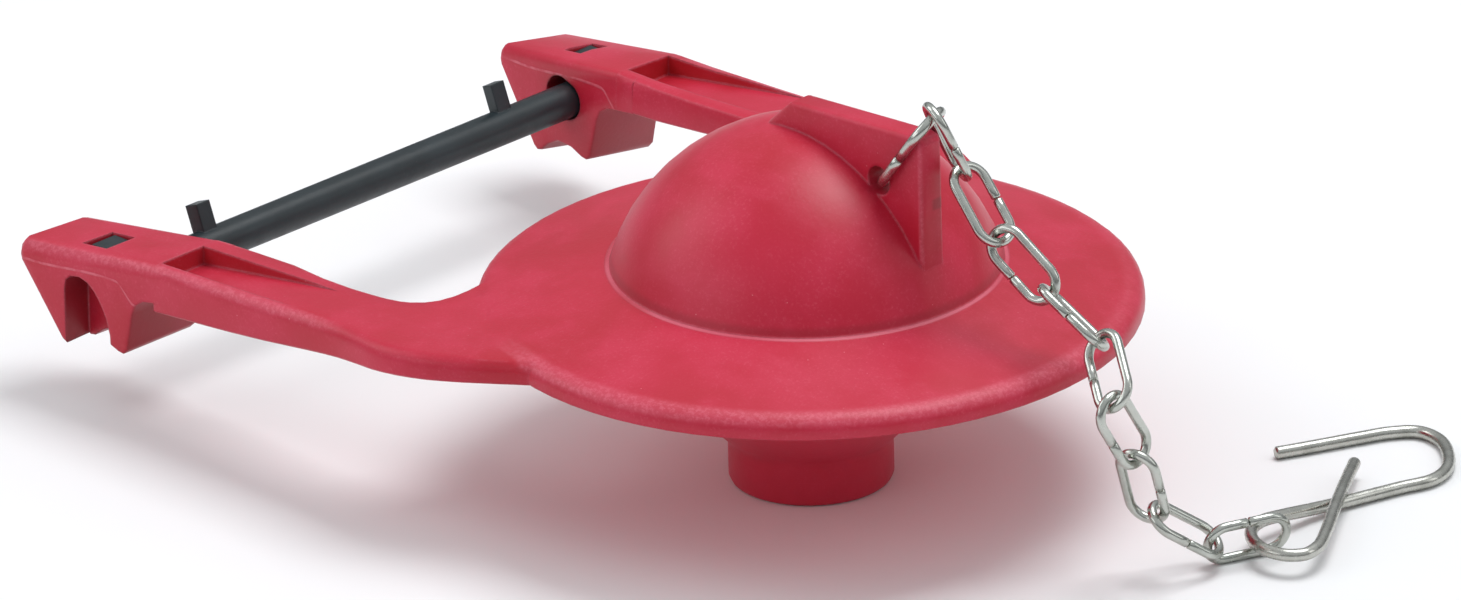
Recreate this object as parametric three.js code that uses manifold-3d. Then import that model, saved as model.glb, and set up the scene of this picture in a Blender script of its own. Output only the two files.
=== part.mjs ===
// Toilet flapper: a moulded rubber valve disc with a hollow dome, two hinge arms ending in
// ears, a plastic cross bar held in the ears, and a lift chain with a wire hook at its end.
// Millimetres, +Z up. Origin: the disc's centre, level with the top of its rim.
// The disc is level, the cross bar runs along Y at -X, the chain leaves over the +X rim.
import * as THREE from "three";
import { mergeVertices } from "three/addons/utils/BufferGeometryUtils.js";
import Module from "manifold-3d";

// ---------------------------------------------------------------- driving dimensions
const DISC_R = 48; // outer radius of the disc
const BULGE = 0.65; // how far the rim bulges towards +X +Y
const RIM_BOTTOM = -3.1; // underside of the rim
const DOME_R = 29.9; // outer radius of the dome's sphere
const DOME_Z = -4.4; // centre of the dome's sphere
const DOME_WALL = 2.5; // rubber thickness of the dome
const CREASE_R = 28.6; // radius where the dome meets the disc's top
const CREASE_Z = 4.3; // height of that crease
const NECK_R = 12; // outer radius of the neck below the disc
const NECK_BORE = 9.4; // radius of the neck's opening
const NECK_BOTTOM = -29.5; // lowest level of the neck
const FLARE_Z = -23.6; // level where the neck starts to flare into the float chamber
const LATHE_STEPS = 72;

const FIN_T = 4.36; // thickness of the lifting fin on the dome
const FIN_X1 = 25.8; // its upright end face
const FIN_HOLE = [17.2, 22.4]; // x and z of the hole for the first link
const FIN_HOLE_R = 2.2;

const ARM_IN = 41; // inner face of the arms and ears, from the middle plane
const EAR_OUT = 54; // outer face of the ears
const EAR_END = -106; // top end of the ears
const BAR_X = -91.7; // axis of the cross bar
const BAR_Z = -10.1;
const BAR_R = 2.65;
const BAR_SHIFT = 1.2; // the loose bar sits this far towards +Y
const BAR_HALF = 49.2; // half length of the bar
const NEAR_TAB = -31.7; // where the two stop tabs stand along the bar
const FAR_TAB = 28.4;
const BORE_R = 2.95; // bore in the ears for the bar
const FAR_EAR_TWIST = (6 * Math.PI) / 180; // the +Y ear droops outwards by this angle at its end
const FAR_EAR_LIFT = 0.55; // and stands this much higher
const NEAR_EAR_STRETCH = 1.4; // the -Y ear reaches this much further out

const LINK_WIRE = 1.5; // wire diameter of the chain links
const LINK_LENGTH = 12.4; // length of a link along its wire's centre
const LINK_HALF = 2.85; // half width of a link, to its wire's centre
const HOOK_WIRE = 1.9; // wire diameter of the hook

// ---------------------------------------------------------------- solids
const wasm = await Module();
wasm.setup();

function solidOf(geometry) {
  const g = geometry.index ? geometry.toNonIndexed() : geometry.clone();
  g.deleteAttribute("normal");
  g.deleteAttribute("uv");
  const m = mergeVertices(g, 1e-4);
  const index = m.index.array;
  const tris = [];
  for (let i = 0; i < index.length; i += 3) {
    const [a, b, c] = [index[i], index[i + 1], index[i + 2]];
    if (a !== b && b !== c && c !== a) tris.push(a, b, c);
  }
  const made = new wasm.Manifold(
    new wasm.Mesh({
      numProp: 3,
      vertProperties: new Float32Array(m.attributes.position.array),
      triVerts: new Uint32Array(tris),
    }),
  );
  if (made.volume() > 0) return made;
  for (let i = 0; i < tris.length; i += 3)
    [tris[i + 1], tris[i + 2]] = [tris[i + 2], tris[i + 1]];
  return new wasm.Manifold(
    new wasm.Mesh({
      numProp: 3,
      vertProperties: new Float32Array(m.attributes.position.array),
      triVerts: new Uint32Array(tris),
    }),
  );
}

function meshOf(name, solid, material) {
  const m = solid.getMesh();
  const n = m.numProp;
  const v = new Float32Array(m.numVert * 3);
  for (let i = 0; i < m.numVert; i++)
    v.set(m.vertProperties.subarray(i * n, i * n + 3), i * 3);
  const g = new THREE.BufferGeometry();
  g.setAttribute("position", new THREE.BufferAttribute(v, 3));
  g.setIndex(new THREE.BufferAttribute(new Uint32Array(m.triVerts), 1));
  const flat = g.toNonIndexed();
  flat.computeVertexNormals();
  const mesh = new THREE.Mesh(flat, material);
  mesh.name = name;
  return mesh;
}

const V2 = (x, y) => new THREE.Vector2(x, y);
const V3 = (x, y, z) => new THREE.Vector3(x, y, z);

function arc(cx, cy, r, from, to, steps) {
  const out = [];
  for (let i = 0; i <= steps; i++) {
    const t = from + ((to - from) * i) / steps;
    out.push(V2(cx + r * Math.cos(t), cy + r * Math.sin(t)));
  }
  return out;
}

// A prism whose outline lies in the XZ plane and which runs along Y from y0 to y1.
function prismY(points, y0, y1) {
  const g = new THREE.ExtrudeGeometry(new THREE.Shape(points), {
    depth: y1 - y0,
    bevelEnabled: false,
  });
  g.applyMatrix4(
    new THREE.Matrix4().makeBasis(V3(1, 0, 0), V3(0, 0, 1), V3(0, 1, 0)),
  );
  g.translate(0, y0, 0);
  return solidOf(g);
}

// ---------------------------------------------------------------- disc, dome and neck
function discSolid() {
  const profile = [
    V2(0, DOME_Z + DOME_R - DOME_WALL),
    // inner face of the dome
    ...arc(0, DOME_Z, DOME_R - DOME_WALL, Math.PI / 2, -0.01, 9).slice(1),
    // inner face of the float chamber's cone, down into the neck's bore
    V2(25.9, -6.2),
    V2(11.0, -21.1),
    V2(9.9, -22.4),
    V2(NECK_BORE, -24.2),
    V2(NECK_BORE, NECK_BOTTOM + 0.5),
    V2(NECK_BORE + 0.5, NECK_BOTTOM),
    // neck's end, rounded outside
    V2(NECK_R - 0.9, NECK_BOTTOM),
    V2(NECK_R - 0.3, NECK_BOTTOM + 0.25),
    V2(NECK_R, NECK_BOTTOM + 0.9),
    V2(NECK_R, FLARE_Z),
    V2(NECK_R + 0.3, FLARE_Z + 0.95),
    V2(NECK_R + 1.1, FLARE_Z + 1.9),
    // outer face of the cone
    V2(22.9, -11.9),
    V2(33.2, -2.4),
    V2(34.6, -1.3),
    V2(36.4, -1.0),
    // underside of the disc
    V2(DISC_R - 0.9, RIM_BOTTOM),
    // rim: sharp lower edge, upright side, broad rounding to the top
    V2(DISC_R - 0.1, RIM_BOTTOM),
    V2(DISC_R, RIM_BOTTOM + 0.25),
    V2(DISC_R - 0.05, -1.5),
    V2(DISC_R - 0.4, -0.65),
    V2(DISC_R - 1.1, -0.05),
    V2(DISC_R - 2.1, 0.28),
    V2(DISC_R - 3.2, 0.5),
    V2(CREASE_R, CREASE_Z),
    // outer face of the dome
    ...arc(
      0,
      DOME_Z,
      DOME_R,
      Math.atan2(CREASE_Z - DOME_Z, CREASE_R),
      Math.PI / 2,
      11,
    ).slice(1, -1),
    V2(0, DOME_Z + DOME_R),
  ];
  const g = new THREE.LatheGeometry(profile, LATHE_STEPS);
  g.rotateX(Math.PI / 2);
  return solidOf(g);
}

// ---------------------------------------------------------------- lifting fin
function finSolid() {
  const R = DOME_R - 1.3;
  const at = (x) => DOME_Z + Math.sqrt(R * R - x * x);
  const points = [V2(-0.5, 29.5), V2(-1.4, 28.9), V2(-5.4, 25.2), V2(-6.2, at(-6.2))];
  for (let x = -3; x < FIN_X1 - 2; x += 4.1) points.push(V2(x, at(x)));
  points.push(V2(FIN_X1, at(FIN_X1)), V2(FIN_X1, 29.9), V2(FIN_X1 - 0.5, 30.8), V2(FIN_X1 - 1.5, 31.15));
  const shape = new THREE.Shape(points);
  const bevel = 0.8;
  const g = new THREE.ExtrudeGeometry(shape, {
    depth: FIN_T - 2 * bevel,
    bevelEnabled: true,
    bevelThickness: bevel,
    bevelSize: bevel,
    bevelOffset: -bevel,
    bevelSegments: 3,
  });
  g.applyMatrix4(
    new THREE.Matrix4().makeBasis(V3(1, 0, 0), V3(0, 0, 1), V3(0, 1, 0)),
  );
  g.translate(0, -FIN_T / 2 + bevel, 0);
  return solidOf(g);
}

function finHole() {
  const g = new THREE.CylinderGeometry(FIN_HOLE_R, FIN_HOLE_R, FIN_T + 2, 20);
  g.translate(FIN_HOLE[0], 0, FIN_HOLE[1]);
  return solidOf(g);
}

// ---------------------------------------------------------------- arms and ears
const lerp = (a, b, t) => a + (b - a) * t;
const armTop = (x) => lerp(-3.1, 0.25, (x + 79.5) / 69.7);
const armBottom = (x) =>
  x < -32.4
    ? lerp(-9.4, -5.0, (x + 73) / 40.6)
    : lerp(-5.0, RIM_BOTTOM - 0.2, (x + 32.4) / 22.4);

const polygon = (sides) =>
  [...Array(sides).keys()].map((i) =>
    V2(
      Math.cos((2 * Math.PI * (i + 0.5)) / sides),
      Math.sin((2 * Math.PI * (i + 0.5)) / sides),
    ),
  );

// A solid through rings of equal point counts. A stock prism with the given outline has
// one ring of vertices per step; each vertex is moved onto its own ring.
function loftSolid(rings, outline = polygon(rings[0].length)) {
  const g = new THREE.ExtrudeGeometry(new THREE.Shape(outline), {
    depth: rings.length - 1,
    steps: rings.length - 1,
    bevelEnabled: false,
  });
  const pos = g.attributes.position;
  for (let i = 0; i < pos.count; i++) {
    const at = V2(pos.getX(i), pos.getY(i));
    let k = 0;
    outline.forEach((p, j) => {
      if (p.distanceTo(at) < outline[k].distanceTo(at)) k = j;
    });
    const q = rings[Math.round(pos.getZ(i))][k];
    pos.setXYZ(i, q.x, q.y, q.z);
  }
  return solidOf(g);
}

const table = (rows) => (x) => {
  if (x <= rows[0][0]) return rows[0][1];
  for (let i = 1; i < rows.length; i++)
    if (x <= rows[i][0])
      return lerp(
        rows[i - 1][1],
        rows[i][1],
        (x - rows[i - 1][0]) / (rows[i][0] - rows[i - 1][0]),
      );
  return rows.at(-1)[1];
};
const armOuter = table([
  [-81, 53.3], [-62, 53.8], [-46, 53.7], [-42, 53.9], [-38, 54.5], [-34, 55.2],
  [-31.5, 55.3], [-29, 55.1], [-26.5, 54.6], [-24, 53.9], [-21.5, 52.9], [-19, 51.8],
  [-16.5, 50.5], [-14, 49.2], [-11.8, 48.0], [-9.8, 47.0], [-7, 45.4], [-4, 43.4],
]);
const armInner = table([
  [-81, ARM_IN], [-52, ARM_IN], [-48, 40.9], [-45, 40.7], [-42.4, 40.2], [-40.5, 39.4],
  [-38.8, 38.1], [-37.6, 36.4], [-36.7, 34.2], [-36.1, 31.8], [-35.8, 29.4], [-34, 28],
]);
const cone = (r) => 0.5 + (44.8 - r) * ((CREASE_Z - 0.5) / (DISC_R - 3.2 - CREASE_R));
const under = (r) => -1.0 - ((r - 36.4) * (-1.0 - RIM_BOTTOM)) / (DISC_R - 0.9 - 36.4);
const smoothMax = (a, b, k) => {
  const h = Math.max(k - Math.abs(a - b), 0) / k;
  return Math.max(a, b) + (h * h * k) / 4;
};
const step = THREE.MathUtils.smoothstep;

function armTopAt(x, y) {
  const r = Math.hypot(x, y);
  return smoothMax(armTop(x), cone(r), 0.7) - 0.4 * (1 - step(r, 43.8, 46.4));
}
function armBottomAt(x, y) {
  const r = Math.hypot(x, y);
  const across = THREE.MathUtils.clamp((y - ARM_IN) / 13, 0, 1);
  const fade = THREE.MathUtils.clamp((-x - 30) / 30, 0, 1);
  const b = armBottom(x) + lerp(1.3, -0.5, across) * fade;
  return lerp(Math.min(under(r) + 0.5, 0), b, step(r, 45.6, 48.2));
}

// The arm on the +Y side, lofted along X from the ear into the disc.
function armSolid() {
  const stations = [
    -81, -73, -65, -58, -52, -48, -45, -42.4, -40.5, -38.8, -37.6, -36.7, -36.1, -35.8,
    -34, -31.5, -29, -26.5, -24, -21.5, -19, -16.5, -14, -11.8, -9.8, -7, -4,
  ];
  const R = 1.9,
    r = 1.2;
  const rings = stations.map((x) => {
    const y0 = armInner(x),
      y1 = armOuter(x);
    const ring = [];
    const add = (y, z) => ring.push(V3(x, y, z));
    add(y0 + 0.3, armBottomAt(x, y0));
    add(y1 - 0.35, armBottomAt(x, y1));
    add(y1, armBottomAt(x, y1) + 0.35);
    for (const t of [0, 0.33, 0.67, 1]) {
      const q = (t * Math.PI) / 2;
      const y = y1 - R * (1 - Math.cos(q));
      add(y, armTopAt(x, y) - R * (1 - Math.sin(q)));
    }
    for (const t of [0.75, 0.5, 0.25]) {
      const y = lerp(y0 + r, y1 - R, t);
      add(y, armTopAt(x, y));
    }
    for (const t of [1, 0.5, 0]) {
      const q = (t * Math.PI) / 2;
      const y = y0 + r * (1 - Math.cos(q));
      add(y, armTopAt(x, y) - r * (1 - Math.sin(q)));
    }
    add(y0, armBottomAt(x, y0) + 0.3);
    return ring;
  });
  return loftSolid(rings);
}

// The ear on the +Y side, before its openings: its side outline, lofted across its width
// with rounded upper edges.
function earSolid() {
  const outline = [
    [EAR_END, -6.25],
    [-79.4, armTop(-79.4)],
    [-77.5, armTop(-77.5) - 0.02],
    [-77.5, -8.6],
    [-83.2, -9.6],
    [-84.7, -10.6],
    [-85.4, -12.2],
    [-86.6, -18.2],
    [-87.4, -18.95],
    [-88.4, -18.8],
    [-90.6, -17.9],
    [-93.4, -17.7],
    [-95.5, -18.8],
    [-96.8, -20.1],
    [-97.6, -20.3],
    [-98.3, -19.8],
    [-106.1, -9.3],
    [-106.6, -8.4],
    [-106.7, -7.3],
  ].map(([x, z]) => V2(x, z));
  const n = outline.length;
  // unit vectors that point into the outline at each of its points
  const inward = outline.map((p, i) => {
    const a = outline[(i + n - 1) % n].clone().sub(p).normalize();
    const b = outline[(i + 1) % n].clone().sub(p).normalize();
    const out = V2(b.y - a.y, a.x - b.x).normalize(); // outline runs clockwise
    return out;
  });
  // the broad rounding runs along the top and fades out around the end
  const broad = {
    0: [0.63, -1],
    1: [0, -1],
    2: [0, -1],
    [n - 3]: [0.32, -0.05],
    [n - 2]: [0.6, -0.18],
    [n - 1]: [0.79, -0.53],
  };
  for (const i in broad) inward[i].set(...broad[i]);
  const rings = [];
  const across = (x, edge) =>
    lerp(edge > 0 ? 53.35 : ARM_IN, edge > 0 ? 54.7 : ARM_IN + 0.8, (-79 - x) / 26.6);
  const ringAt = (edge, t) => {
    const q = (t * Math.PI) / 2;
    rings.push(
      outline.map((p, i) => {
        const r = i in broad ? (edge > 0 ? 1.9 : 1.2) : 0.35;
        const k = r * (1 - Math.cos(q));
        const side = r * Math.min(1, inward[i].length()) * (1 - Math.sin(q));
        return V3(
          p.x + inward[i].x * k,
          across(p.x, edge) - edge * side,
          p.y + inward[i].y * k,
        );
      }),
    );
  };
  for (const t of [1, 0.67, 0.33, 0]) ringAt(-1, t);
  for (const t of [0, 0.33, 0.67, 1]) ringAt(1, t);
  // both flat sides share the division into triangles that suits their mean outline
  const mean = rings[0].map((p, i) => V2((p.x + rings.at(-1)[i].x) / 2, (p.z + rings.at(-1)[i].z) / 2));
  return loftSolid(rings, mean);
}

// Openings of the +Y ear and arm: bore, outer recess, latch window and the pocket on top.
function earCuts(side) {
  // rounded slot through the ear's inner wall, in which the bar lies
  const hull = [
    ...arc(BAR_X, BAR_Z, BORE_R, -Math.PI * 0.62, Math.PI * 0.36, 12),
    ...arc(BAR_X - 1.5, BAR_Z + 0.6, BORE_R - 0.1, Math.PI * 0.38, Math.PI * 1.36, 12),
  ];
  const bore = prismY(hull, ARM_IN - 1, 51.2);
  // recess in the outer face, open below
  const recess = prismY(
    [
      V2(-89.6, -21),
      V2(-89.8, -16.6),
      V2(-90.5, -14.2),
      V2(-91.5, -12.2),
      V2(-92.7, -10.6),
      V2(-94.0, -9.5),
      V2(-95.4, -9.0),
      V2(-96.7, -9.3),
      V2(-97.4, -10.2),
      V2(-97.6, -11.6),
      V2(-97.6, -21),
    ],
    49.6,
    EAR_OUT + 3,
  );
  const back = side > 0 ? -96.1 : -97.0;
  const window_ = prismY(
    [V2(back, 0), V2(back, -11), V2(-92.8, -11), V2(-92.8, 0)],
    45.5,
    51.2,
  );
  // pocket: deep at the ear, its floor ramps up to the arm's top towards the disc
  const rim = new THREE.Shape([
    V2(-80.6, 43.4),
    V2(-60, 43.6),
    V2(-51.5, 43.9),
    V2(-51.5, 51.9),
    V2(-60, 52.0),
    V2(-80.6, 51.7),
  ]);
  const pocket = solidOf(
    new THREE.ExtrudeGeometry(rim, { depth: 10, bevelEnabled: false }),
  ).warp((p) => {
    p[2] = p[2] > 5 ? 4 : lerp(-6.0, armTop(-51.5) + 0.05, (p[0] + 80.6) / 29.1);
  });
  return [bore, recess, window_, pocket];
}

// The soft ears are not quite alike: the +Y one is twisted, the -Y one stands further out.
function flexEar(solid, side) {
  return solid.warp((p) => {
    const t = THREE.MathUtils.clamp((-p[0] - 66) / 39, 0, 1);
    if (side < 0) {
      const out = -p[0];
      // the inner strip is wider on this side, and the end is cut at a slant
      const strip = 1 - step(p[1], 42.2, 43.3);
      p[0] -= (NEAR_EAR_STRETCH - 1.2 * (1 - step(p[1], 40, 50))) * step(out, 94, 99);
      p[1] -= strip * (1.5 * step(out, 54, 68) + 0.7 * step(out, 86, 100) - 2 * step(out, 99, 106));
      return;
    }
    const a = -FAR_EAR_TWIST * t;
    const y = p[1] - 45,
      z = p[2] - BAR_Z;
    const outer = step(p[1], 41, 54),
      lift = FAR_EAR_LIFT * step(-p[0], 70, 84);
    p[1] += y * (Math.cos(a) - 1) - z * Math.sin(a);
    p[2] += y * Math.sin(a) + z * (Math.cos(a) - 1) + lift;
    // its outer side droops more at the end and at the foot, and the end is cut at a slant
    p[2] -= 0.6 * outer * step(-p[0], 98, 104) * (1 - step(-p[2], 9, 12));
    p[2] -= 1.3 * outer * Math.max(0, (-p[2] - 9) / 10);
    p[0] += 1.3 * outer * step(-p[0], 97, 104);
    p[1] += 0.9 * step(p[1], 51.9, 53) * step(-p[0], 58, 78);
  });
}

function bodySolid() {
  let body = discSolid();
  const chamber = solidOf(
    new THREE.LatheGeometry(
      [
        V2(0, DOME_Z + DOME_R - DOME_WALL),
        ...arc(0, DOME_Z, DOME_R - DOME_WALL, Math.PI / 2, -0.01, 9).slice(1),
        V2(25.9, -6.2),
        V2(11.0, -21.1),
        V2(0, -21.1),
      ],
      LATHE_STEPS,
    ).rotateX(Math.PI / 2),
  );
  body = body.add(finSolid().subtract(chamber)).subtract(finHole());
  for (const side of [1, -1]) {
    const arm = armSolid().subtract(chamber);
    let whole = flexEar(arm.add(earSolid()), side);
    for (const cut of earCuts(side)) whole = whole.subtract(side < 0 ? flexEar(cut, side) : cut);
    if (side < 0) whole = whole.mirror([0, 1, 0]);
    body = body.add(whole);
  }
  // the soft disc bulges a little on one side
  return body.warp((p) => {
    const out = (p[0] + p[1]) * Math.SQRT1_2;
    const k = BULGE * step(out, 20, 48) * step(Math.hypot(p[0], p[1]), 29, 46) * (p[0] > -45 ? 1 : 0);
    p[0] += k * Math.SQRT1_2;
    p[1] += k * Math.SQRT1_2;
  });
}

// ---------------------------------------------------------------- cross bar
function barSolid() {
  const rod = new THREE.CylinderGeometry(BAR_R, BAR_R, 2 * BAR_HALF, 28);
  rod.translate(BAR_X, 0, BAR_Z);
  let bar = solidOf(rod);
  // two stop tabs, leaning away from the disc
  const lean = (21 * Math.PI) / 180;
  for (const side of [1, -1]) {
    const deep = side > 0 ? 1.9 : 2.5;
    const tab = new THREE.BoxGeometry(deep, 2.6, 6.6);
    tab.translate(1.25 - deep / 2, 0, 3.3);
    tab.rotateY(-lean);
    tab.translate(BAR_X, (side > 0 ? FAR_TAB : NEAR_TAB) - BAR_SHIFT, BAR_Z);
    bar = bar.add(solidOf(tab));
    // latch lug that stands up into the ear's window
    const wide = side > 0 ? 2.7 : 3.5;
    const lug = new THREE.BoxGeometry(wide, 4.6, 5.4);
    lug.translate(-93.1 - wide / 2, side * 48.2 - BAR_SHIFT, -7.95);
    bar = bar.add(solidOf(lug));
  }
  return bar.translate([0, BAR_SHIFT, 0]);
}

// ---------------------------------------------------------------- chain and hook
// A round wire through the given centre points, square-cut at both ends. Rings stand at
// the points themselves, so bends keep their shape.
function wireSolid(points, r, sides) {
  const n = points.length;
  const tangents = points.map((p, i) =>
    points[Math.min(n - 1, i + 1)]
      .clone()
      .sub(points[Math.max(0, i - 1)])
      .normalize(),
  );
  let normal = Math.abs(tangents[0].z) < 0.9 ? V3(0, 0, 1) : V3(1, 0, 0);
  const rings = points.map((p, i) => {
    normal = normal
      .clone()
      .sub(tangents[i].clone().multiplyScalar(normal.dot(tangents[i])))
      .normalize();
    const other = tangents[i].clone().cross(normal);
    const ring = [];
    for (let k = 0; k < sides; k++) {
      const t = (2 * Math.PI * (k + 0.5)) / sides;
      ring.push(
        p
          .clone()
          .addScaledVector(normal, r * Math.cos(t))
          .addScaledVector(other, r * Math.sin(t)),
      );
    }
    return ring;
  });
  return loftSolid(rings);
}

// Centre points of an oval link: near end at `near`, long axis d, width axis a. The wire
// starts and ends at a butt seam in the middle of the leg on the side of +a or -a.
function linkPoints(near, d, a, length, half, seamSide) {
  const straight = (length - 2 * half) / 2;
  const c = near.clone().addScaledVector(d, straight + half);
  const gap = 0.06;
  const out = [];
  const put = (u, w) =>
    out.push(c.clone().addScaledVector(d, u).addScaledVector(a, w * seamSide));
  put(gap, half);
  put(straight, half);
  const steps = 8;
  for (let i = 1; i < steps; i++) {
    const t = Math.PI / 2 - (Math.PI * i) / steps;
    put(straight + half * Math.cos(t), half * Math.sin(t));
  }
  put(straight, -half);
  put(-straight, -half);
  for (let i = 1; i < steps; i++) {
    const t = -Math.PI / 2 - (Math.PI * i) / steps;
    put(-straight + half * Math.cos(t), half * Math.sin(t));
  }
  put(-straight, half);
  put(-gap, half);
  return out;
}

// The chain as it lies: name, near end of the link's centre line, its long axis, its width
// axis, and the side that holds the butt seam.
const CHAIN = [
  ["chain_link_01", [16.9, -0.03, 22.0], [0.6002, 0.0503, 0.7983], [-0.2626, 0.9551, 0.1373], -1],
  ["chain_link_02", [25.7, -0.09, 35.53], [0.1928, 0.3563, -0.9143], [-0.9141, 0.4039, -0.0353], -1],
  ["chain_link_03", [28.28, 3.62, 25.9], [0.6695, -0.032, -0.7421], [-0.0543, -0.9985, -0.0059], -1],
  ["chain_link_04", [35.23, 3.15, 17.7], [0.8004, 0.0991, -0.5913], [0.556, 0.2464, 0.7938], -1],
  ["chain_link_05", [43.72, 4.17, 11.26], [0.8422, 0.1239, -0.5247], [-0.4052, 0.7875, -0.4645], -1],
  ["chain_link_06", [53.16, 5.86, 6.05], [0.7201, -0.4533, -0.5254], [-0.6839, -0.3357, -0.6478], 1],
  ["chain_link_07", [61.04, -0.87, 0.4], [0.0553, 0.4935, -0.868], [0.0673, -0.8692, -0.4899], 1],
  ["chain_link_08", [61.9, 3.76, -9.09], [-0.0687, 0.3248, -0.9433], [0.9631, 0.2681, 0.0222], 1],
  ["chain_link_09", [62.33, 6.79, -19.1], [0.3373, 0.7452, -0.5752], [-0.7268, 0.5945, 0.3439], -1],
  ["chain_link_10", [65.55, 14.69, -26.1], [0.3664, 0.9302, 0.0225], [-0.2131, 0.1074, -0.9711], -1],
];
const FIRST_WIRE = 1.6; // the first link is a little larger, to span the fin
const FIRST_LENGTH = 15.10;
const FIRST_HALF = 3.65;

// Centre line of the hook's single wire, from its cut end round the wide bend, along the
// lower arm, round the narrow loop held in the last link, and over the arm to the tip.
const HOOK = [
  [45.77, 49.08, -28.5],
  [47.29, 52.48, -28.5],
  [49.11, 56.83, -28.5],
  [50.92, 61.18, -28.5],
  [52.86, 65.4, -28.5],
  [55.82, 68.58, -28.5],
  [60.2, 68.43, -28.5],
  [65.13, 65.11, -28.5],
  [68.27, 61.15, -28.5],
  [69.16, 57.34, -28.5],
  [67.64, 52.29, -28.5],
  [66.4, 47.36, -28.45],
  [65.33, 42.27, -28.3],
  [64.73, 36.71, -27.7],
  [64.52, 31.38, -26.9],
  [64.47, 27.12, -26.4],
  [65.8, 23.51, -26.25],
  [68.89, 20.77, -26.25],
  [72.28, 19.76, -26.25],
  [75.65, 20.43, -26.25],
  [77.42, 22.52, -26.25],
  [77.0, 25.62, -26.2],
  [74.44, 29.89, -26.15],
  [70.04, 36.05, -26.15],
  [65.89, 41.94, -26.3],
  [61.67, 47.91, -26.8],
  [58.65, 52.24, -27.2],
];

function linkSolid(row, i) {
  const [, near, d, a, side] = row;
  const first = i === 0;
  return wireSolid(
    linkPoints(
      V3(...near),
      V3(...d),
      V3(...a),
      first ? FIRST_LENGTH : LINK_LENGTH,
      first ? FIRST_HALF : LINK_HALF,
      side,
    ),
    (first ? FIRST_WIRE : LINK_WIRE) / 2,
    8,
  );
}

function hookSolid() {
  const curve = new THREE.CatmullRomCurve3(
    HOOK.map((p) => V3(...p)),
    false,
    "centripetal",
  );
  return wireSolid(curve.getSpacedPoints(84), HOOK_WIRE / 2, 8);
}

// ---------------------------------------------------------------- materials and assembly
const rubber = new THREE.MeshStandardMaterial({
  color: 0xc4243a,
  roughness: 0.55,
  metalness: 0,
});
const plastic = new THREE.MeshStandardMaterial({
  color: 0x2b353b,
  roughness: 0.45,
  metalness: 0,
});
const linkSteel = new THREE.MeshStandardMaterial({
  color: 0xc9cec9,
  roughness: 0.22,
  metalness: 1,
});
const hookSteel = new THREE.MeshStandardMaterial({
  color: 0xb9b4aa,
  roughness: 0.3,
  metalness: 1,
});

const group = new THREE.Group();
group.name = "toilet_flapper";
group.add(meshOf("flapper_body", bodySolid(), rubber));
group.add(meshOf("crossbar", barSolid(), plastic));
CHAIN.forEach((row, i) =>
  group.add(meshOf(row[0], linkSolid(row, i), linkSteel)),
);
group.add(meshOf("lever_hook", hookSolid(), hookSteel));

export default group;
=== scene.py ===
"""The toilet flapper's looks: smooth moulded rubber, satin plastic bar, polished chain, satin hook."""

import math

import bmesh
import bpy
import numpy as np
from mathutils import Matrix, Vector


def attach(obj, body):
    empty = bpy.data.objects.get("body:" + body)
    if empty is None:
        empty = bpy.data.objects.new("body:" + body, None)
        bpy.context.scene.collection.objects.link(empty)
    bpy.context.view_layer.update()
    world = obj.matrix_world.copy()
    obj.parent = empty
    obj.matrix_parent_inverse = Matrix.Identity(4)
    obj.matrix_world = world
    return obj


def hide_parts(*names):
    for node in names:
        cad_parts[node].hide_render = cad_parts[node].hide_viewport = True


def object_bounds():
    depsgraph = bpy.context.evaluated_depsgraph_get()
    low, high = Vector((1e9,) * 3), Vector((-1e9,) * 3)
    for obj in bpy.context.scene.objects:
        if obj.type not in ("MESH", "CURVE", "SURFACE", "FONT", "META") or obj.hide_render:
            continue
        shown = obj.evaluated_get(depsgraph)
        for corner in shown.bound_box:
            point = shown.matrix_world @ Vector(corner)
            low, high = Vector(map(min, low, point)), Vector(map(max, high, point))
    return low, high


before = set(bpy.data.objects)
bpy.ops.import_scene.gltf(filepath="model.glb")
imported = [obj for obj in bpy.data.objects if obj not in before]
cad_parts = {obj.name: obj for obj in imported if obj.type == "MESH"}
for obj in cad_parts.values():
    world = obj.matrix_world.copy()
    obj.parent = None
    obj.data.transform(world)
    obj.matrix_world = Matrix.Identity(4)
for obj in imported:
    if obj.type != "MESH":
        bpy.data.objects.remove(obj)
cad_low, cad_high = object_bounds()
scene = bpy.context.scene
MM = 0.001


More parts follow.
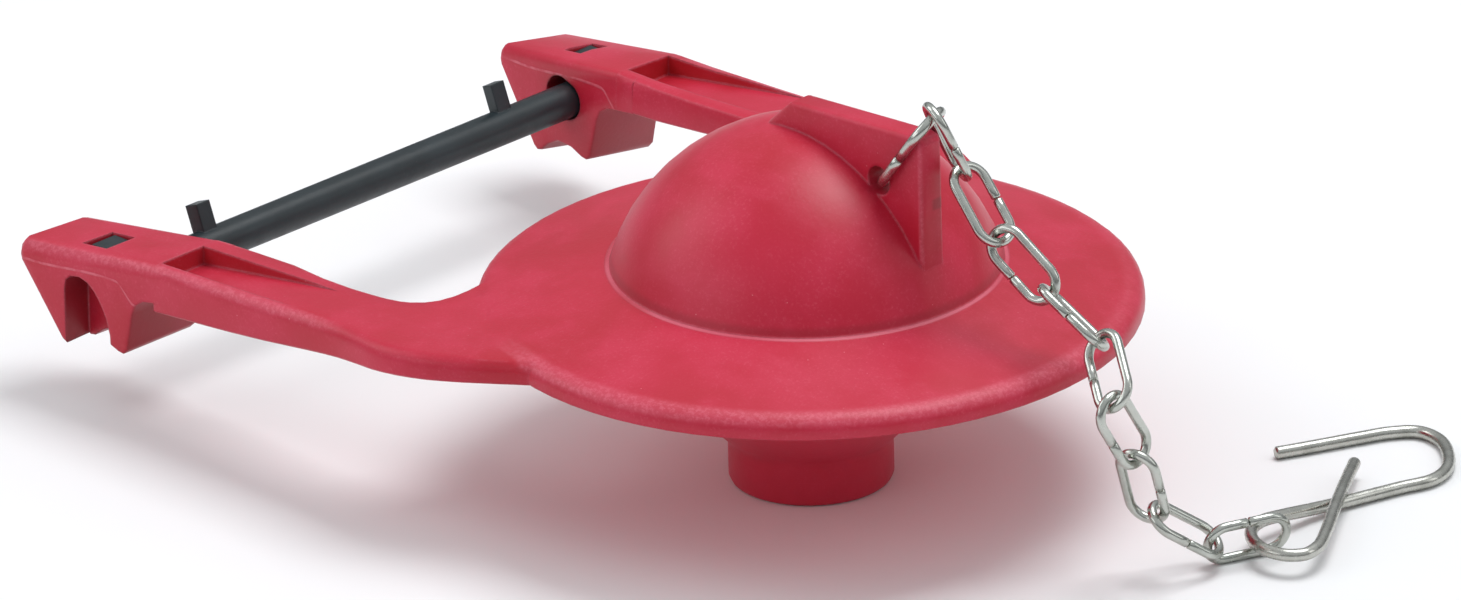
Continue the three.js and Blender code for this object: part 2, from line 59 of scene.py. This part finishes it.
# ------------------------------------------------------------------ node helpers
class Shader:
    """A material's node tree, built with short calls."""

    def __init__(self, name):
        self.mat = bpy.data.materials.new(name)
        self.mat.use_nodes = True
        self.t = self.mat.node_tree
        self.t.nodes.clear()
        self.out = self.t.nodes.new("ShaderNodeOutputMaterial")
        self.bsdf = self.t.nodes.new("ShaderNodeBsdfPrincipled")
        self.t.links.new(self.bsdf.outputs[0], self.out.inputs[0])
        self.coord = self.t.nodes.new("ShaderNodeTexCoord").outputs["Object"]

    def node(self, kind, **settings):
        n = self.t.nodes.new(kind)
        for k, v in settings.items():
            setattr(n, k, v)
        return n

    def put(self, socket, value):
        if isinstance(value, bpy.types.NodeSocket):
            self.t.links.new(value, socket)
        else:
            socket.default_value = value

    def math(self, op, a, b=0.0, c=0.0, clamp=False):
        n = self.node("ShaderNodeMath", operation=op, use_clamp=clamp)
        for i, v in enumerate((a, b, c)):
            self.put(n.inputs[i], v)
        return n.outputs[0]

    def ramp(self, value, low, high, out_low=0.0, out_high=1.0):
        n = self.node("ShaderNodeMapRange", interpolation_type="SMOOTHSTEP")
        for i, v in enumerate((value, low, high, out_low, out_high)):
            self.put(n.inputs[i], v)
        return n.outputs[0]

    def noise(self, per_mm, detail=3.0, rough=0.55, at=None, stretch=None):
        """Noise with about per_mm grains in a millimetre."""
        n = self.node("ShaderNodeTexNoise")
        co = at or self.coord
        if stretch:
            m = self.node("ShaderNodeMapping")
            self.put(m.inputs["Vector"], co)
            m.inputs["Scale"].default_value = stretch
            co = m.outputs[0]
        self.put(n.inputs["Vector"], co)
        n.inputs["Scale"].default_value = per_mm * 1000
        n.inputs["Detail"].default_value = detail
        n.inputs["Roughness"].default_value = rough
        return n.outputs["Fac"]

    def cells(self, per_mm, jitter=1.0):
        n = self.node("ShaderNodeTexVoronoi")
        self.put(n.inputs["Vector"], self.coord)
        n.inputs["Scale"].default_value = per_mm * 1000
        n.inputs["Randomness"].default_value = jitter
        return n.outputs["Distance"], n.outputs["Color"]

    def mix(self, fac, a, b):
        n = self.node("ShaderNodeMix", data_type="RGBA")
        self.put(n.inputs["Factor"], fac)
        for name, v in (("A", a), ("B", b)):
            s = [q for q in n.inputs if q.name == name and q.type == "RGBA"][0]
            self.put(s, v if isinstance(v, bpy.types.NodeSocket) else (*v, 1.0))
        return [q for q in n.outputs if q.type == "RGBA"][0]

    def xyz(self):
        n = self.node("ShaderNodeSeparateXYZ")
        self.put(n.inputs[0], self.coord)
        return n.outputs

    def bevel(self, radius_mm, samples=6):
        n = self.node("ShaderNodeBevel", samples=samples)
        n.inputs["Radius"].default_value = radius_mm * MM
        return n.outputs[0]

    def bump(self, height, distance_mm, strength=1.0, normal=None):
        n = self.node("ShaderNodeBump")
        n.inputs["Strength"].default_value = strength
        n.inputs["Distance"].default_value = distance_mm * MM
        self.put(n.inputs["Height"], height)
        if normal is not None:
            self.put(n.inputs["Normal"], normal)
        return n.outputs[0]

    def dot(self, a, b):
        n = self.node("ShaderNodeVectorMath", operation="DOT_PRODUCT")
        self.put(n.inputs[0], a)
        self.put(n.inputs[1], b)
        return n.outputs["Value"]


def rubber_material():
    s = Shader("red_rubber")
    x, y, z = s.xyz()
    geometry = s.node("ShaderNodeNewGeometry")
    soft = s.bevel(0.6, 4)
    slope = s.node("ShaderNodeSeparateXYZ")
    s.put(slope.inputs[0], soft)
    radius = s.math("SQRT", s.math("ADD", s.math("MULTIPLY", x, x), s.math("MULTIPLY", y, y)))

    # moulded colour: crimson, slightly uneven, with faint flow streaks
    broad = s.noise(0.018, 2.0)
    cloud = s.noise(0.09, 4.0, 0.6)
    base = s.mix(s.ramp(broad, 0.35, 0.68), (0.480, 0.0060, 0.0290), (0.540, 0.0100, 0.0410))
    base = s.mix(s.ramp(cloud, 0.40, 0.72, 0.0, 0.50), base, (0.610, 0.0260, 0.0740))
    flow = s.noise(0.16, 3.0, 0.5, stretch=(0.25, 1.6, 1.0))
    base = s.mix(s.ramp(flow, 0.55, 0.80, 0.0, 0.25), base, (0.640, 0.0400, 0.0900))

    deeper = s.noise(0.045, 3.0, 0.6)
    base = s.mix(s.ramp(deeper, 0.52, 0.30, 0.0, 0.40), base, (0.440, 0.0040, 0.0140))
    dust = s.math("MULTIPLY", s.ramp(s.noise(2.2, 3.0, 0.7), 0.50, 0.78), s.ramp(cloud, 0.35, 0.65, 0.25, 1.0))
    base = s.mix(s.math("MULTIPLY", dust, 0.32), base, (0.720, 0.120, 0.180))

    # painted shade: hollows, inner corners and downward faces are darkened towards a brownish maroon by ambient
    # occlusion
    shade_occlusion = s.node("ShaderNodeAmbientOcclusion", samples=2, only_local=False)
    shade_occlusion.inputs["Distance"].default_value = 13 * MM
    s.put(shade_occlusion.inputs["Normal"], soft)
    shade_depth = s.ramp(shade_occlusion.outputs["AO"], 0.80, 0.22)
    facing_down_shade = s.ramp(slope.outputs["Z"], 0.25, -0.25, 0.45, 1.0)
    place = s.ramp(x, -0.048, -0.060, 0.25, 0.75)
    painted_shade_brown = s.mix(s.ramp(z, -0.0085, -0.0065), (0.190, 0.0080, 0.0040), (0.360, 0.0240, 0.0050))
    base = s.mix(s.math("MULTIPLY", s.math("MULTIPLY", shade_depth, facing_down_shade), place), base, painted_shade_brown)

    # painted shade: the inner faces of the ears' hooks, under the arms, are darkened
    hook_face_shade = s.math("MULTIPLY", s.ramp(z, -0.0080, -0.0105), s.ramp(x, -0.0740, -0.0780))
    hook_face_shade = s.math("MULTIPLY", hook_face_shade, s.ramp(s.math("ABSOLUTE", slope.outputs["Y"]), 0.80, 0.45))
    base = s.mix(s.math("MULTIPLY", hook_face_shade, 0.50), base, (0.170, 0.0030, 0.0060))

    # dust and painted highlight: pale specks, dense on edges and denser on upward edges where light falls, with
    # painted highlight bands on the rim, arms and fin
    edge = s.ramp(s.dot(soft, geometry.outputs["Normal"]), 0.995, 0.90)
    facing_up = s.ramp(slope.outputs["Z"], -0.6, 0.4)
    powder = s.ramp(s.noise(1.3, 5.0, 0.75), 0.40, 0.66)
    # painted highlight on the disc's rounded rim, on its lit side only
    rim_highlight = s.math(
        "MULTIPLY",
        s.math("MULTIPLY", s.ramp(radius, 0.0448, 0.0464), s.ramp(radius, 0.0490, 0.0481)),
        s.math("MULTIPLY", s.ramp(z, -0.0016, -0.0005), s.math("MULTIPLY", s.ramp(x, -0.022, -0.008), s.ramp(y, 0.030, 0.0, 0.35, 1.0))),
    )
    # painted highlight on the rounded upper edges of the arms and ears, outside
    across = s.math("ABSOLUTE", y)
    arm_edge_highlight = s.math(
        "MULTIPLY",
        s.math("MULTIPLY", s.ramp(across, 0.0516, 0.0526), s.ramp(x, -0.040, -0.050)),
        s.math("MULTIPLY", s.ramp(slope.outputs["Z"], 0.15, 0.55), s.ramp(slope.outputs["Z"], 0.995, 0.93)),
    )
    dust_and_highlight = s.math("MAXIMUM", s.math("MULTIPLY", edge, facing_up), s.math("MULTIPLY", rim_highlight, 0.9))
    dust_and_highlight = s.math("MAXIMUM", dust_and_highlight, arm_edge_highlight)
    # painted highlight on the upright edges of the fin's end
    fin_end = s.math("MULTIPLY", s.ramp(x, 0.0249, 0.0254), s.ramp(z, 0.0110, 0.0125))
    fin_end = s.math("MULTIPLY", fin_end, s.ramp(across, 0.0025, 0.0023))
    dust_and_highlight = s.math("MAXIMUM", dust_and_highlight, s.math("MULTIPLY", fin_end, s.ramp(across, 0.00165, 0.00205)))
    dust_and_highlight = s.math("MULTIPLY", dust_and_highlight, s.ramp(powder, 0.0, 1.0, 0.42, 1.0), clamp=True)
    base = s.mix(s.math("MULTIPLY", dust_and_highlight, 0.52), base, (0.780, 0.170, 0.240))
    # painted shade standing in for a small nick in the fin's end
    nick_shade = s.math("MULTIPLY", s.ramp(s.math("ABSOLUTE", s.math("SUBTRACT", z, 0.0203)), 0.0011, 0.0006), s.ramp(y, -0.0004, 0.0004))
    nick_shade = s.math("MULTIPLY", nick_shade, fin_end)
    base = s.mix(s.math("MULTIPLY", nick_shade, 0.6), base, (0.220, 0.004, 0.010))
    # painted light: the neck is a little brighter than the shaded hollows above it
    neck_light = s.math("MULTIPLY", s.ramp(radius, 0.036, 0.030), s.ramp(z, -0.005, -0.009))
    base = s.mix(s.math("MULTIPLY", neck_light, 0.55), base, (0.680, 0.0300, 0.0700))
    distance, _ = s.cells(0.42)
    speck = s.ramp(distance, 0.055, 0.02)
    thin = s.ramp(s.noise(0.05, 2.0), 0.46, 0.62)
    speck = s.math("MULTIPLY", speck, thin)
    base = s.mix(s.math("MULTIPLY", speck, 0.6), base, (0.80, 0.33, 0.38))

    # where the dome meets the disc: a thin pale bead, with painted shade in the crease at its foot
    bead = s.math("MULTIPLY", s.ramp(radius, 0.02845, 0.02870), s.ramp(radius, 0.02935, 0.02895))
    bead = s.math("MULTIPLY", bead, s.ramp(z, 0.0, 0.002))
    crease_shade = s.math("MULTIPLY", s.ramp(radius, 0.0279, 0.0283), s.ramp(radius, 0.0286, 0.0284))
    crease_shade = s.math("MULTIPLY", crease_shade, s.ramp(z, 0.0, 0.002))
    broken = s.ramp(s.noise(0.06, 2.0), 0.30, 0.60, 0.35, 1.0)
    base = s.mix(s.math("MULTIPLY", s.math("MULTIPLY", bead, broken), 0.60), base, (0.780, 0.200, 0.270))
    base = s.mix(s.math("MULTIPLY", crease_shade, 0.45), base, (0.300, 0.010, 0.022))

    # mould parting line along the sides of the ears
    far = s.ramp(y, -0.001, 0.001)
    lx = s.math("SUBTRACT", x, s.math("MULTIPLY", far, 0.0040))
    lz = s.math("SUBTRACT", z, s.math("MULTIPLY", far, 0.0017))
    course = s.math("ADD", s.ramp(lx, -0.106, -0.090, -0.0089, -0.0076), s.ramp(lx, -0.0885, -0.0845, 0.0, -0.0030))
    off = s.math("ABSOLUTE", s.math("SUBTRACT", lz, course))
    line = s.math("MULTIPLY", s.ramp(off, 0.00030, 0.00008), s.ramp(lx, -0.0800, -0.0830))
    side = s.ramp(s.math("ABSOLUTE", slope.outputs["Y"]), 0.5, 0.8)
    outside = s.math("MAXIMUM", far, s.ramp(across, 0.050, 0.052))
    line = s.math("MULTIPLY", s.math("MULTIPLY", line, side), outside)
    line = s.math("MULTIPLY", line, s.ramp(s.noise(0.35, 3.0), 0.35, 0.60, 0.15, 1.0))
    base = s.mix(s.math("MULTIPLY", line, 0.55), base, (0.780, 0.190, 0.250))

    s.put(s.bsdf.inputs["Base Color"], base)
    rough = s.math("ADD", s.ramp(cloud, 0.2, 0.8, 0.35, 0.45), s.math("MULTIPLY", dust_and_highlight, 0.12))
    s.put(s.bsdf.inputs["Roughness"], rough)
    s.bsdf.inputs["IOR"].default_value = 1.50
    s.bsdf.inputs["Specular IOR Level"].default_value = 0.42
    s.bsdf.inputs["Sheen Weight"].default_value = 0.06
    s.bsdf.inputs["Sheen Roughness"].default_value = 0.45
    s.bsdf.inputs["Sheen Tint"].default_value = (0.95, 0.66, 0.80, 1.0)
    s.bsdf.inputs["Subsurface Weight"].default_value = 0.0
    grain = s.math("ADD", s.noise(1.6, 3.0), s.math("MULTIPLY", s.noise(0.25, 2.0), 0.8))
    raised = s.bump(s.math("ADD", bead, s.math("MULTIPLY", line, 0.6)), 0.16, 0.8, soft)
    s.put(s.bsdf.inputs["Normal"], s.bump(grain, 0.035, 0.6, raised))
    return s.mat


def plastic_material():
    s = Shader("bar_plastic")
    cloud = s.noise(0.12, 4.0)
    base = s.mix(s.ramp(cloud, 0.3, 0.7), (0.0060, 0.0125, 0.0155), (0.0110, 0.0205, 0.0250))
    speck = s.ramp(s.noise(1.4, 4.0, 0.7), 0.62, 0.80)
    base = s.mix(s.math("MULTIPLY", speck, 0.35), base, (0.07, 0.09, 0.10))
    s.put(s.bsdf.inputs["Base Color"], base)
    s.put(s.bsdf.inputs["Roughness"], s.ramp(s.noise(0.5, 4.0), 0.3, 0.7, 0.34, 0.46))
    grain = s.math("ADD", s.noise(1.2, 4.0), s.math("MULTIPLY", s.noise(4.0, 2.0), 0.3))
    s.put(s.bsdf.inputs["Normal"], s.bump(grain, 0.03, 0.7, s.bevel(0.35)))
    return s.mat


def wire_material(name, light, dark, low, high, scratch):
    """Drawn steel wire: faint lengthwise and cross scratches, slight tarnish."""
    s = Shader(name)
    s.bsdf.inputs["Metallic"].default_value = 1.0
    tarnish = s.ramp(s.noise(0.35, 4.0, 0.6), 0.35, 0.75)
    metal = s.mix(tarnish, light, dark)
    pit = s.ramp(s.noise(1.1, 4.0, 0.7), 0.60, 0.74)
    metal = s.mix(s.math("MULTIPLY", pit, 0.12), metal, tuple(0.35 * c for c in dark))
    s.put(s.bsdf.inputs["Base Color"], metal)
    rough = s.ramp(s.noise(0.9, 4.0), 0.3, 0.75, low, high)
    s.put(s.bsdf.inputs["Roughness"], rough)
    fine = s.math("ADD", s.noise(3.0, 3.0), s.math("MULTIPLY", s.noise(0.5, 2.0), 0.6))
    s.put(s.bsdf.inputs["Normal"], s.bump(fine, scratch, 0.6))
    return s.mat


RUBBER = rubber_material()
PLASTIC = plastic_material()
LINK = wire_material("chain_steel", (0.53, 0.545, 0.505), (0.43, 0.450, 0.410), 0.21, 0.28, 0.0015)
HOOK_STEEL = wire_material("hook_steel", (0.52, 0.52, 0.48), (0.41, 0.41, 0.37), 0.24, 0.32, 0.005)


# ------------------------------------------------------------------ mesh helpers
def new_object(name, verts, faces, material, smooth=True):
    mesh = bpy.data.meshes.new(name)
    mesh.from_pydata([tuple(v) for v in verts], [], faces)
    mesh.update()
    mesh.materials.append(material)
    if smooth:
        mesh.shade_smooth()
    o = bpy.data.objects.new(name, mesh)
    scene.collection.objects.link(o)
    return o


def smooth_copy(node, name, material, angle):
    """The CAD node's own shape with its corners merged and its gentle edges smooth."""
    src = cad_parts[node]
    mesh = src.data.copy()
    mesh.name = name
    mesh.materials.clear()
    mesh.materials.append(material)
    o = bpy.data.objects.new(name, mesh)
    scene.collection.objects.link(o)
    b = bmesh.new()
    b.from_mesh(mesh)
    bmesh.ops.remove_doubles(b, verts=b.verts, dist=2e-6)
    b.to_mesh(mesh)
    b.free()
    for a in ("sharp_edge", "sharp_face", "custom_normal"):
        if a in mesh.attributes:
            mesh.attributes.remove(mesh.attributes[a])
    mesh.shade_smooth()
    mesh.set_sharp_from_angle(angle=math.radians(angle))
    return o


def sharpen(o, inside, angle):
    """Makes edges above the angle sharp where both of their ends are inside."""
    b = bmesh.new()
    b.from_mesh(o.data)
    for e in b.edges:
        if len(e.link_faces) == 2 and all(inside(*(v.co / MM)) for v in e.verts):
            if e.calc_face_angle(0) > math.radians(angle):
                e.smooth = False
    b.to_mesh(o.data)
    b.free()


def tube(name, points, radius, material, sides=20, round_ends=0.25):
    """A round wire through the points (mm), with slightly rounded ends."""
    p = np.array(points, float)
    t = np.gradient(p, axis=0)
    t /= np.linalg.norm(t, axis=1)[:, None]
    n = np.cross(t[0], (0.31, 0.52, 0.79))
    n /= np.linalg.norm(n)
    verts, faces = [], []
    rings = [(0, -1)] + [(i, 0) for i in range(len(p))] + [(len(p) - 1, 1)]
    normals = []
    for i in range(len(p)):
        n = n - n.dot(t[i]) * t[i]
        n /= np.linalg.norm(n)
        normals.append(n.copy())
    for i, end in rings:
        r = radius * (0.72 if end else 1.0)
        c = p[i]
        if end == 0 and i == 0:
            c = p[i] + t[i] * round_ends * radius
        if end == 0 and i == len(p) - 1:
            c = p[i] - t[i] * round_ends * radius
        a = np.arange(sides) * 2 * math.pi / sides
        m = np.cross(t[i], normals[i])
        ring = c + r * (np.cos(a)[:, None] * normals[i] + np.sin(a)[:, None] * m)
        verts += list(np.clip(ring * MM, np.array(cad_low), np.array(cad_high)))
    count = len(rings)
    for k in range(count - 1):
        for j in range(sides):
            a, b = k * sides + j, k * sides + (j + 1) % sides
            faces.append((a, b, b + sides, a + sides))
    faces.append(tuple(range(sides - 1, -1, -1)))
    faces.append(tuple(range((count - 1) * sides, count * sides)))
    o = new_object(name, verts, faces, material)
    o.data.set_sharp_from_angle(angle=math.radians(50))
    return o


def catmull(points, per_span):
    """Centripetal Catmull-Rom curve through the points."""
    p = [np.array(q, float) for q in points]
    p = [2 * p[0] - p[1]] + p + [2 * p[-1] - p[-2]]
    out = []
    for i in range(1, len(p) - 2):
        q = p[i - 1 : i + 3]
        k = [0.0]
        for a, b in zip(q, q[1:]):
            k.append(k[-1] + np.linalg.norm(b - a) ** 0.5)
        for s in range(per_span):
            t = k[1] + (k[2] - k[1]) * s / per_span
            a = [((k[j + 1] - t) * q[j] + (t - k[j]) * q[j + 1]) / (k[j + 1] - k[j]) for j in range(3)]
            b = [((k[j + 2] - t) * a[j] + (t - k[j]) * a[j + 1]) / (k[j + 2] - k[j]) for j in range(2)]
            out.append(((k[2] - t) * b[0] + (t - k[1]) * b[1]) / (k[2] - k[1]))
    out.append(p[-2])
    return np.array(out)


# ------------------------------------------------------------------ body and bar
body = smooth_copy("flapper_body", "rubber_body", RUBBER, 32)
sharpen(body, lambda x, y, z: x > 24 and abs(y) < 2.4 and z > 5, 20)
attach(body, "flapper")
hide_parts("flapper_body")

bar = smooth_copy("crossbar", "bar_with_tabs", PLASTIC, 30)
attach(bar, "flapper")
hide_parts("crossbar")

# ------------------------------------------------------------------ chain and hook
# near end of the link's centre line, long axis, width axis, side of the butt seam
CHAIN = [
    ((16.9, -0.03, 22.0), (0.6002, 0.0503, 0.7983), (-0.2626, 0.9551, 0.1373), -1),
    ((25.7, -0.09, 35.53), (0.1928, 0.3563, -0.9143), (-0.9141, 0.4039, -0.0353), -1),
    ((28.28, 3.62, 25.9), (0.6695, -0.032, -0.7421), (-0.0543, -0.9985, -0.0059), -1),
    ((35.23, 3.15, 17.7), (0.8004, 0.0991, -0.5913), (0.556, 0.2464, 0.7938), -1),
    ((43.72, 4.17, 11.26), (0.8422, 0.1239, -0.5247), (-0.4052, 0.7875, -0.4645), -1),
    ((53.16, 5.86, 6.05), (0.7201, -0.4533, -0.5254), (-0.6839, -0.3357, -0.6478), 1),
    ((61.04, -0.87, 0.4), (0.0553, 0.4935, -0.868), (0.0673, -0.8692, -0.4899), 1),
    ((61.9, 3.76, -9.09), (-0.0687, 0.3248, -0.9433), (0.9631, 0.2681, 0.0222), 1),
    ((62.33, 6.79, -19.1), (0.3373, 0.7452, -0.5752), (-0.7268, 0.5945, 0.3439), -1),
    ((65.55, 14.69, -26.1), (0.3664, 0.9302, 0.0225), (-0.2131, 0.1074, -0.9711), -1),
]
FIRST = dict(length=15.10, half=3.65, r=0.8)
OTHER = dict(length=12.4, half=2.85, r=0.75)
HOOK = [
    (45.77, 49.08, -28.5),
    (47.29, 52.48, -28.5),
    (49.11, 56.83, -28.5),
    (50.92, 61.18, -28.5),
    (52.86, 65.4, -28.5),
    (55.82, 68.58, -28.5),
    (60.2, 68.43, -28.5),
    (65.13, 65.11, -28.5),
    (68.27, 61.15, -28.5),
    (69.16, 57.34, -28.5),
    (67.64, 52.29, -28.5),
    (66.4, 47.36, -28.45),
    (65.33, 42.27, -28.3),
    (64.73, 36.71, -27.7),
    (64.52, 31.38, -26.9),
    (64.47, 27.12, -26.4),
    (65.8, 23.51, -26.25),
    (68.89, 20.77, -26.25),
    (72.28, 19.76, -26.25),
    (75.65, 20.43, -26.25),
    (77.42, 22.52, -26.25),
    (77.0, 25.62, -26.2),
    (74.44, 29.89, -26.15),
    (70.04, 36.05, -26.15),
    (65.89, 41.94, -26.3),
    (61.67, 47.91, -26.8),
    (58.65, 52.24, -27.2),
]


def link_path(near, d, a, length, half, side, gap):
    """Centre points of the oval, from one face of the seam round to the other."""
    near, d, a = (np.array(v, float) for v in (near, d, a))
    straight = (length - 2 * half) / 2
    c = near + d * (straight + half)
    uw = [(gap, half), (straight * 0.5, half), (straight, half)]
    steps = 20
    for i in range(1, steps):
        t = math.pi / 2 - math.pi * i / steps
        uw.append((straight + half * math.cos(t), half * math.sin(t)))
    uw += [(straight, -half), (straight * 0.33, -half), (-straight * 0.33, -half), (-straight, -half)]
    for i in range(1, steps):
        t = -math.pi / 2 - math.pi * i / steps
        uw.append((-straight + half * math.cos(t), half * math.sin(t)))
    uw += [(-straight, half), (-straight * 0.5, half), (-gap, half)]
    return [c + d * u + a * w * side for u, w in uw]


for i, (near, d, a, side) in enumerate(CHAIN):
    size = FIRST if i == 0 else OTHER
    path = link_path(near, d, a, size["length"], size["half"], side, 0.06)
    o = tube(f"link_{i + 1:02d}_wire", path, size["r"] * (0.90 if i == 1 else 0.955), LINK, sides=24)
    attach(o, f"link_{i + 1:02d}")
    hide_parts(f"chain_link_{i + 1:02d}")

hook = tube("hook_wire", catmull(HOOK, 8), 0.95 * 0.995, HOOK_STEEL, sides=24)
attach(hook, "hook")
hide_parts("lever_hook")


# ------------------------------------------------------------------ floor, light and camera
def floor_material():
    s = Shader("floor_white")
    tone = s.ramp(s.noise(0.004, 3.0), 0.3, 0.7)
    s.put(s.bsdf.inputs["Base Color"], s.mix(tone, (0.88, 0.88, 0.88), (0.91, 0.91, 0.91)))
    s.bsdf.inputs["Roughness"].default_value = 0.9
    s.bsdf.inputs["Specular IOR Level"].default_value = 0.1
    return s.mat


FLOOR_Z = -29.5
w = 3.0
floor = new_object(
    "floor",
    [(-w, -w, FLOOR_Z * MM), (w, -w, FLOOR_Z * MM), (w, w, FLOOR_Z * MM), (-w, w, FLOOR_Z * MM)],
    [(0, 1, 2, 3)],
    floor_material(),
    smooth=False,
)


def area(name, direction, distance, size, watts, color=(1, 1, 1), size_y=None, target=(0, 0, 0)):
    light = bpy.data.lights.new(name, "AREA")
    light.energy = watts
    light.color = color
    light.shape = "RECTANGLE"
    light.size = size
    light.size_y = size_y or size
    o = bpy.data.objects.new(name, light)
    scene.collection.objects.link(o)
    d = Vector(direction).normalized()
    o.location = Vector(target) + d * distance
    o.rotation_mode = "QUATERNION"
    o.rotation_quaternion = d.to_track_quat("Z", "Y")
    return o


area("top_box", (0.063, 0.306, 0.951), 0.60, 0.34, 2.15, (0.97, 0.98, 1.0), size_y=0.30)
area("left_box", (-0.72, -0.41, 0.558), 0.75, 0.30, 0.9, (0.97, 0.98, 1.0), size_y=0.45)
area("front_box", (-0.30, -0.82, 0.36), 1.0, 0.70, 1.1, (0.97, 0.98, 1.0), size_y=0.35)
area("right_box", (0.75, 0.55, 0.45), 0.9, 0.25, 0.55, size_y=0.5)

# studio: bright above, dim towards the walls
world = bpy.data.worlds.new("studio")
scene.world = world
world.use_nodes = True
wt = world.node_tree
background = wt.nodes["Background"]
split = wt.nodes.new("ShaderNodeSeparateXYZ")
wt.links.new(wt.nodes.new("ShaderNodeTexCoord").outputs["Generated"], split.inputs[0])
fade = wt.nodes.new("ShaderNodeMapRange")
fade.interpolation_type = "SMOOTHSTEP"
for socket, value in zip(fade.inputs[1:5], (-0.05, 0.70, 0.14, 0.66)):
    socket.default_value = value
wt.links.new(split.outputs["Z"], fade.inputs[0])
wt.links.new(fade.outputs[0], background.inputs[1])
background.inputs[0].default_value = (0.94, 0.97, 1.0, 1)

camera = bpy.data.cameras.new("camera")
camera.lens = 690
camera.sensor_width = 36
camera.clip_start, camera.clip_end = 0.1, 20
co = bpy.data.objects.new("camera", camera)
scene.collection.objects.link(co)
right = Vector((0.706244, 0.707676, -0.020339))
up = Vector((-0.268458, 0.294277, 0.917241))
back = Vector((0.655095, -0.642336, 0.397812))
co.matrix_world = Matrix(
    (
        (right.x, up.x, back.x, 2.636101),
        (right.y, up.y, back.y, -2.600385),
        (right.z, up.z, back.z, 1.603796),
        (0, 0, 0, 1),
    )
)
scene.camera = co
scene.view_settings.view_transform = "Standard"
